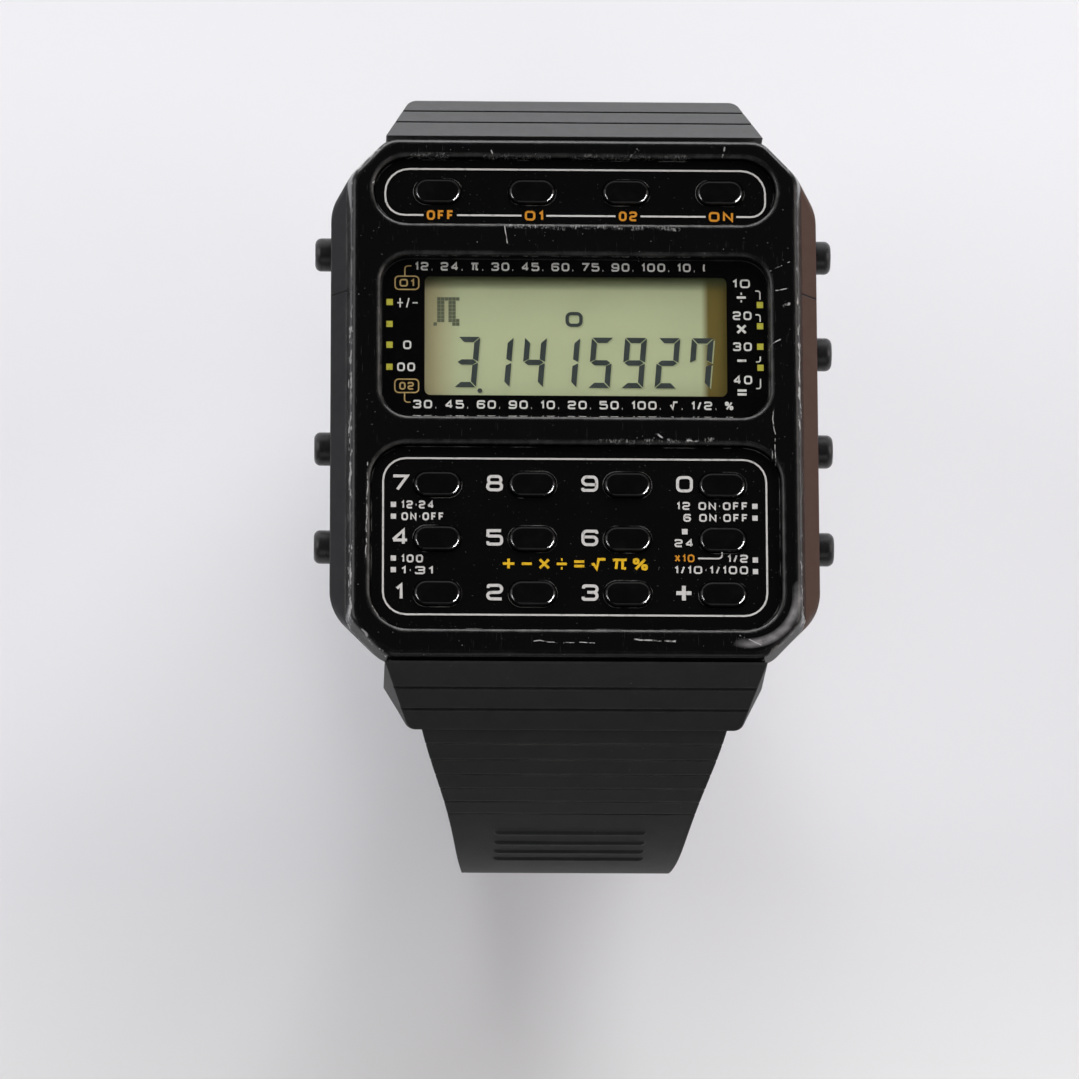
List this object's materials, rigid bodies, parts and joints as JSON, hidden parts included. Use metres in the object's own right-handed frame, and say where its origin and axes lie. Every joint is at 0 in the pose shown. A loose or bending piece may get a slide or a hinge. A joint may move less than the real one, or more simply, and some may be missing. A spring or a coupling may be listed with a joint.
{
  "type": "calculator watch",
  "caption": "Digital calculator wristwatch: cut-cornered case with a keypad face, side pushers and a buckled resin strap; keys, pushers, buckle, prong and keeper move.",
  "frame": {"origin": "centre of the case back's outer face", "axes": "+X to 3 o'clock, +Y to 12 o'clock, +Z out of the face"},
  "size_m": [0.0394, 0.0618, 0.0492],
  "materials": {
    "case_resin": "dark moulded resin, satin",
    "bezel_gloss": "gloss black, scratched",
    "printed_plate": "black with fine white print",
    "key_black": "black, polished by use",
    "lens_glass": "mineral glass, printed behind",
    "lcd_glass": "grey green reflective panel",
    "strap_resin": "matte charcoal resin",
    "steel": "stainless, brushed",
    "circuit_board": "green solder mask",
    "module_plastic": "dark moulded frame",
    "chip_black": "epoxy package",
    "silicone": "grey silicone",
    "seal_rubber": "black nitrile",
    "brass": "plain brass",
    "lamp_glass": "clear bulb",
    "insulator_film": "yellow film"
  },
  "bodies": {
    "watch": {"backlight_lamp": "lamp_glass", "battery": "steel", "battery_clamp": "steel", "battery_insulator": "insulator_film", "bezel": "bezel_gloss", "buckle_bar": "steel", "buzzer_spring": "steel", "case_back": "steel", "case_back_screws": "steel", "case_body": "case_resin", "case_gasket": "seal_rubber", "display_lens": "lens_glass", "function_plate": "printed_plate", "key_circuit_board": "circuit_board", "key_membrane": "silicone", "keypad_plate": "printed_plate", "lcd_connectors": "silicone", "lcd_panel": "lcd_glass", "main_circuit_board": "circuit_board", "module_frame": "module_plastic", "module_screws": "steel", "piezo_buzzer": "brass", "processor_chip": "chip_black", "pusher_seals": "seal_rubber", "pusher_springs": "steel", "quartz_crystal": "steel", "spring_bar_lower": "steel", "spring_bar_upper": "steel", "strap_lower": "strap_resin", "strap_upper": "strap_resin"},
    "key_0": {"key_0": "key_black"},
    "key_1": {"key_1": "key_black"},
    "key_2": {"key_2": "key_black"},
    "key_3": {"key_3": "key_black"},
    "key_4": {"key_4": "key_black"},
    "key_5": {"key_5": "key_black"},
    "key_6": {"key_6": "key_black"},
    "key_7": {"key_7": "key_black"},
    "key_8": {"key_8": "key_black"},
    "key_9": {"key_9": "key_black"},
    "key_plus": {"key_plus": "key_black"},
    "key_point": {"key_point": "key_black"},
    "function_key_1": {"function_key_1": "key_black"},
    "function_key_2": {"function_key_2": "key_black"},
    "function_key_3": {"function_key_3": "key_black"},
    "function_key_4": {"function_key_4": "key_black"},
    "pusher_left_1": {"pusher_left_1": "case_resin"},
    "pusher_left_2": {"pusher_left_2": "case_resin"},
    "pusher_left_3": {"pusher_left_3": "case_resin"},
    "pusher_left_4": {"pusher_left_4": "case_resin"},
    "pusher_right_1": {"pusher_right_1": "case_resin"},
    "pusher_right_2": {"pusher_right_2": "case_resin"},
    "pusher_right_3": {"pusher_right_3": "case_resin"},
    "pusher_right_4": {"pusher_right_4": "case_resin"},
    "buckle_frame": {"buckle_frame": "steel"},
    "buckle_prong": {"buckle_prong": "steel"},
    "strap_keeper": {"strap_keeper": "strap_resin"}
  },
  "joints": [
    {"name": "key_0_press", "type": "slide", "parent": "watch", "child": "key_0", "axis": [0, 0, -1], "range_m": [0, 0.0005], "stiffness_N_per_m": 1500, "springref_m": -0.0002, "deforming": ["key_membrane"]},
    {"name": "key_1_press", "type": "slide", "parent": "watch", "child": "key_1", "axis": [0, 0, -1], "range_m": [0, 0.0005], "stiffness_N_per_m": 1500, "springref_m": -0.0002, "deforming": ["key_membrane"]},
    {"name": "key_2_press", "type": "slide", "parent": "watch", "child": "key_2", "axis": [0, 0, -1], "range_m": [0, 0.0005], "stiffness_N_per_m": 1500, "springref_m": -0.0002, "deforming": ["key_membrane"]},
    {"name": "key_3_press", "type": "slide", "parent": "watch", "child": "key_3", "axis": [0, 0, -1], "range_m": [0, 0.0005], "stiffness_N_per_m": 1500, "springref_m": -0.0002, "deforming": ["key_membrane"]},
    {"name": "key_4_press", "type": "slide", "parent": "watch", "child": "key_4", "axis": [0, 0, -1], "range_m": [0, 0.0005], "stiffness_N_per_m": 1500, "springref_m": -0.0002, "deforming": ["key_membrane"]},
    {"name": "key_5_press", "type": "slide", "parent": "watch", "child": "key_5", "axis": [0, 0, -1], "range_m": [0, 0.0005], "stiffness_N_per_m": 1500, "springref_m": -0.0002, "deforming": ["key_membrane"]},
    {"name": "key_6_press", "type": "slide", "parent": "watch", "child": "key_6", "axis": [0, 0, -1], "range_m": [0, 0.0005], "stiffness_N_per_m": 1500, "springref_m": -0.0002, "deforming": ["key_membrane"]},
    {"name": "key_7_press", "type": "slide", "parent": "watch", "child": "key_7", "axis": [0, 0, -1], "range_m": [0, 0.0005], "stiffness_N_per_m": 1500, "springref_m": -0.0002, "deforming": ["key_membrane"]},
    {"name": "key_8_press", "type": "slide", "parent": "watch", "child": "key_8", "axis": [0, 0, -1], "range_m": [0, 0.0005], "stiffness_N_per_m": 1500, "springref_m": -0.0002, "deforming": ["key_membrane"]},
    {"name": "key_9_press", "type": "slide", "parent": "watch", "child": "key_9", "axis": [0, 0, -1], "range_m": [0, 0.0005], "stiffness_N_per_m": 1500, "springref_m": -0.0002, "deforming": ["key_membrane"]},
    {"name": "key_plus_press", "type": "slide", "parent": "watch", "child": "key_plus", "axis": [0, 0, -1], "range_m": [0, 0.0005], "stiffness_N_per_m": 1500, "springref_m": -0.0002, "deforming": ["key_membrane"]},
    {"name": "key_point_press", "type": "slide", "parent": "watch", "child": "key_point", "axis": [0, 0, -1], "range_m": [0, 0.0005], "stiffness_N_per_m": 1500, "springref_m": -0.0002, "deforming": ["key_membrane"]},
    {"name": "function_key_1_press", "type": "slide", "parent": "watch", "child": "function_key_1", "axis": [0, 0, -1], "range_m": [0, 0.0005], "stiffness_N_per_m": 1500, "springref_m": -0.0002, "deforming": ["key_membrane"]},
    {"name": "function_key_2_press", "type": "slide", "parent": "watch", "child": "function_key_2", "axis": [0, 0, -1], "range_m": [0, 0.0005], "stiffness_N_per_m": 1500, "springref_m": -0.0002, "deforming": ["key_membrane"]},
    {"name": "function_key_3_press", "type": "slide", "parent": "watch", "child": "function_key_3", "axis": [0, 0, -1], "range_m": [0, 0.0005], "stiffness_N_per_m": 1500, "springref_m": -0.0002, "deforming": ["key_membrane"]},
    {"name": "function_key_4_press", "type": "slide", "parent": "watch", "child": "function_key_4", "axis": [0, 0, -1], "range_m": [0, 0.0005], "stiffness_N_per_m": 1500, "springref_m": -0.0002, "deforming": ["key_membrane"]},
    {"name": "pusher_left_1_press", "type": "slide", "parent": "watch", "child": "pusher_left_1", "axis": [1, 0, 0], "range_m": [0, 0.0008], "stiffness_N_per_m": 1200, "springref_m": -0.0002, "deforming": ["pusher_springs"]},
    {"name": "pusher_left_2_press", "type": "slide", "parent": "watch", "child": "pusher_left_2", "axis": [1, 0, 0], "range_m": [0, 0.0008], "stiffness_N_per_m": 1200, "springref_m": -0.0002, "deforming": ["pusher_springs"]},
    {"name": "pusher_left_3_press", "type": "slide", "parent": "watch", "child": "pusher_left_3", "axis": [1, 0, 0], "range_m": [0, 0.0008], "stiffness_N_per_m": 1200, "springref_m": -0.0002, "deforming": ["pusher_springs"]},
    {"name": "pusher_left_4_press", "type": "slide", "parent": "watch", "child": "pusher_left_4", "axis": [1, 0, 0], "range_m": [0, 0.0008], "stiffness_N_per_m": 1200, "springref_m": -0.0002, "deforming": ["pusher_springs"]},
    {"name": "pusher_right_1_press", "type": "slide", "parent": "watch", "child": "pusher_right_1", "axis": [-1, 0, 0], "range_m": [0, 0.0008], "stiffness_N_per_m": 1200, "springref_m": -0.0002, "deforming": ["pusher_springs"]},
    {"name": "pusher_right_2_press", "type": "slide", "parent": "watch", "child": "pusher_right_2", "axis": [-1, 0, 0], "range_m": [0, 0.0008], "stiffness_N_per_m": 1200, "springref_m": -0.0002, "deforming": ["pusher_springs"]},
    {"name": "pusher_right_3_press", "type": "slide", "parent": "watch", "child": "pusher_right_3", "axis": [-1, 0, 0], "range_m": [0, 0.0008], "stiffness_N_per_m": 1200, "springref_m": -0.0002, "deforming": ["pusher_springs"]},
    {"name": "pusher_right_4_press", "type": "slide", "parent": "watch", "child": "pusher_right_4", "axis": [-1, 0, 0], "range_m": [0, 0.0008], "stiffness_N_per_m": 1200, "springref_m": -0.0002, "deforming": ["pusher_springs"]},
    {"name": "buckle_frame_swing", "type": "hinge", "parent": "watch", "child": "buckle_frame", "pos_m": [0, 0.002, -0.03344], "axis": [1, 0, 0], "range_deg": [0, 15]},
    {"name": "buckle_prong_lift", "type": "hinge", "parent": "buckle_frame", "child": "buckle_prong", "pos_m": [0, 0.002, -0.03344], "axis": [1, 0, 0], "range_deg": [0, 15]},
    {"name": "strap_keeper_slide", "type": "slide", "parent": "watch", "child": "strap_keeper", "axis": [0, 1, 0], "range_m": [-0.001, 0.001]}
  ]
}
